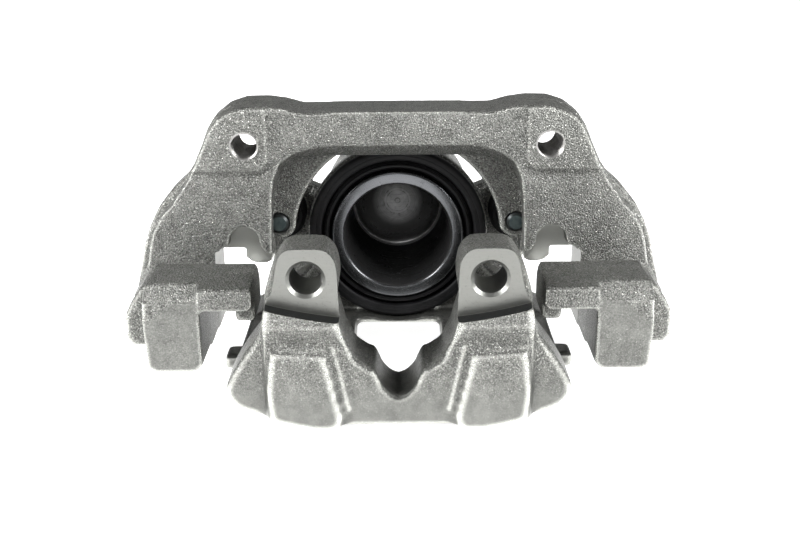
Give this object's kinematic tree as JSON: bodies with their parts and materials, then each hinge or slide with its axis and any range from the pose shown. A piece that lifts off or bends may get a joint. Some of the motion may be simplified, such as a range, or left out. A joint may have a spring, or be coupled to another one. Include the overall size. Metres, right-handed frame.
{
  "type": "floating brake caliper",
  "caption": "Cast floating disc brake caliper on its carrier bracket, with a hollow piston, rubber dust boot, guide bolts and bleeder.",
  "frame": {"origin": "midway between the two bracket bolt holes, on the bracket's inboard mounting face", "axes": "X along the line through the two bolt holes, +Y inboard (away from the fingers, out of the mounting face), +Z towards the wheel centre; the bridge is at the bottom"},
  "size_m": [0.2268, 0.1702, 0.1128],
  "materials": {
    "cast_zinc": "zinc-coated sand casting, fine bright grain",
    "ground_steel": "ground",
    "zinc_plate": "blue zinc plated",
    "boot_rubber": "glossy moulded rubber",
    "seal_rubber": "matte moulded rubber",
    "black_plastic": "moulded nylon"
  },
  "bodies": {
    "carrier": {"bracket": "cast_zinc", "guide_bolt_left": "zinc_plate", "guide_bolt_right": "zinc_plate", "guide_sleeve_left": "ground_steel", "guide_sleeve_right": "ground_steel", "guide_boot_left": "boot_rubber", "guide_boot_right": "boot_rubber"},
    "housing": {"caliper_body": "cast_zinc", "piston_seal": "seal_rubber", "dust_boot": "boot_rubber", "boot_ring": "ground_steel", "guide_bush_left": "black_plastic", "guide_bush_right": "black_plastic", "guide_cap_left": "black_plastic", "guide_cap_right": "black_plastic"},
    "piston": {"piston": "ground_steel"},
    "bleeder": {"bleed_screw": "zinc_plate", "bleed_cap": "boot_rubber"}
  },
  "joints": [
    {"name": "caliper_slide", "type": "slide", "parent": "carrier", "child": "housing", "axis": [0, 1, 0], "range_m": [-0.002, 0.014], "deforming": ["guide_boot_left", "guide_boot_right"]},
    {"name": "piston_slide", "type": "slide", "parent": "housing", "child": "piston", "axis": [0, -1, 0], "range_m": [0, 0.026], "deforming": ["dust_boot"]},
    {"name": "bleed_turn", "type": "hinge", "parent": "housing", "child": "bleeder", "pos_m": [0.017, 0.064, -0.0272], "axis": [0, -1, 0], "range_deg": [0, 180]}
  ]
}
